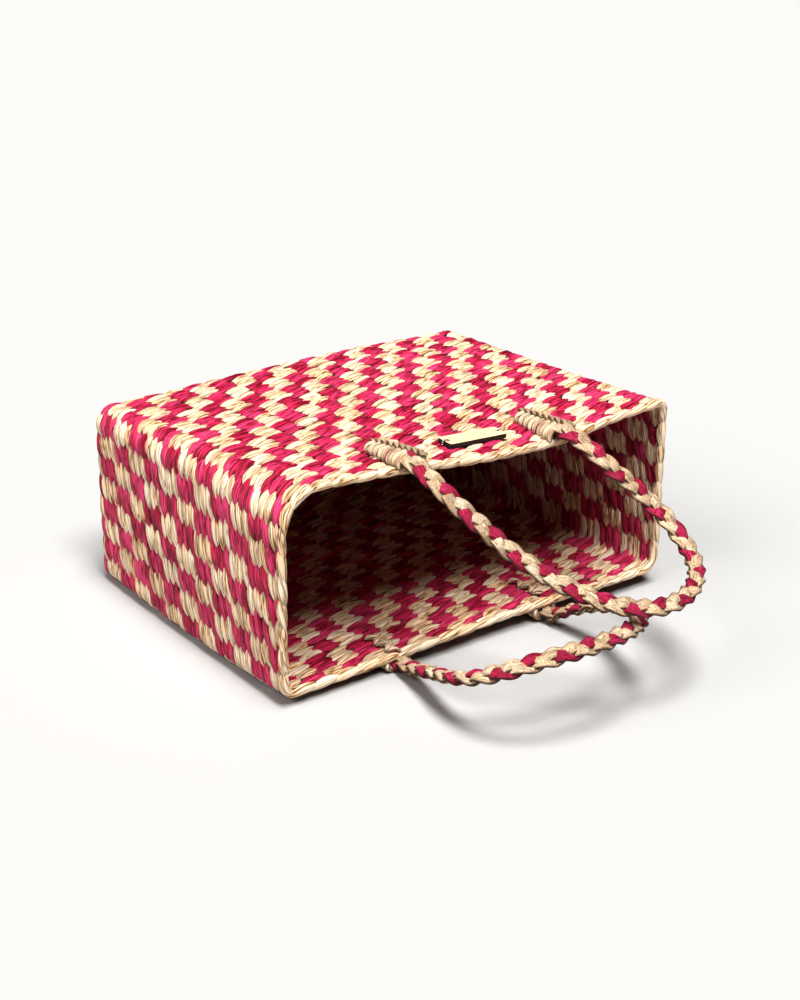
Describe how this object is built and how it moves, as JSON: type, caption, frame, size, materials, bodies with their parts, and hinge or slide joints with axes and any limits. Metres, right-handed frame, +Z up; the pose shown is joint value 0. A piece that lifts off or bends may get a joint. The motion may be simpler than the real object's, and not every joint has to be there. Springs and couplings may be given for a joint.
{
  "type": "woven tote bag",
  "caption": "Rectangular tote bag of twined seagrass in a pink and natural checker, lying on its back panel, with braided handles and a small plain wooden tag",
  "frame": {"origin": "on the floor, under the middle of the bag's footprint; the handles reach further out in front", "axes": "+X to the bag's right as seen from its mouth, +Y from the mouth to the base, +Z up; the bag lies on its back panel"},
  "size_m": [0.3402, 0.3778, 0.152],
  "materials": {
    "weave": "twined seagrass straw in pink and natural, dry and slightly glossy",
    "straw": "plaited natural seagrass straw, dry and slightly glossy",
    "wood": "pale bare plywood with dark burnt edges",
    "thread": "twisted cotton thread"
  },
  "bodies": {
    "root": {"bag_body": "weave", "rim_binding": "straw", "handle_front": "straw", "handle_back": "straw", "lashing_front_left": "straw", "lashing_front_right": "straw", "lashing_back_left": "straw", "lashing_back_right": "straw", "tag": "wood", "tag_tie_left": "thread", "tag_tie_right": "thread"}
  },
  "joints": []
}
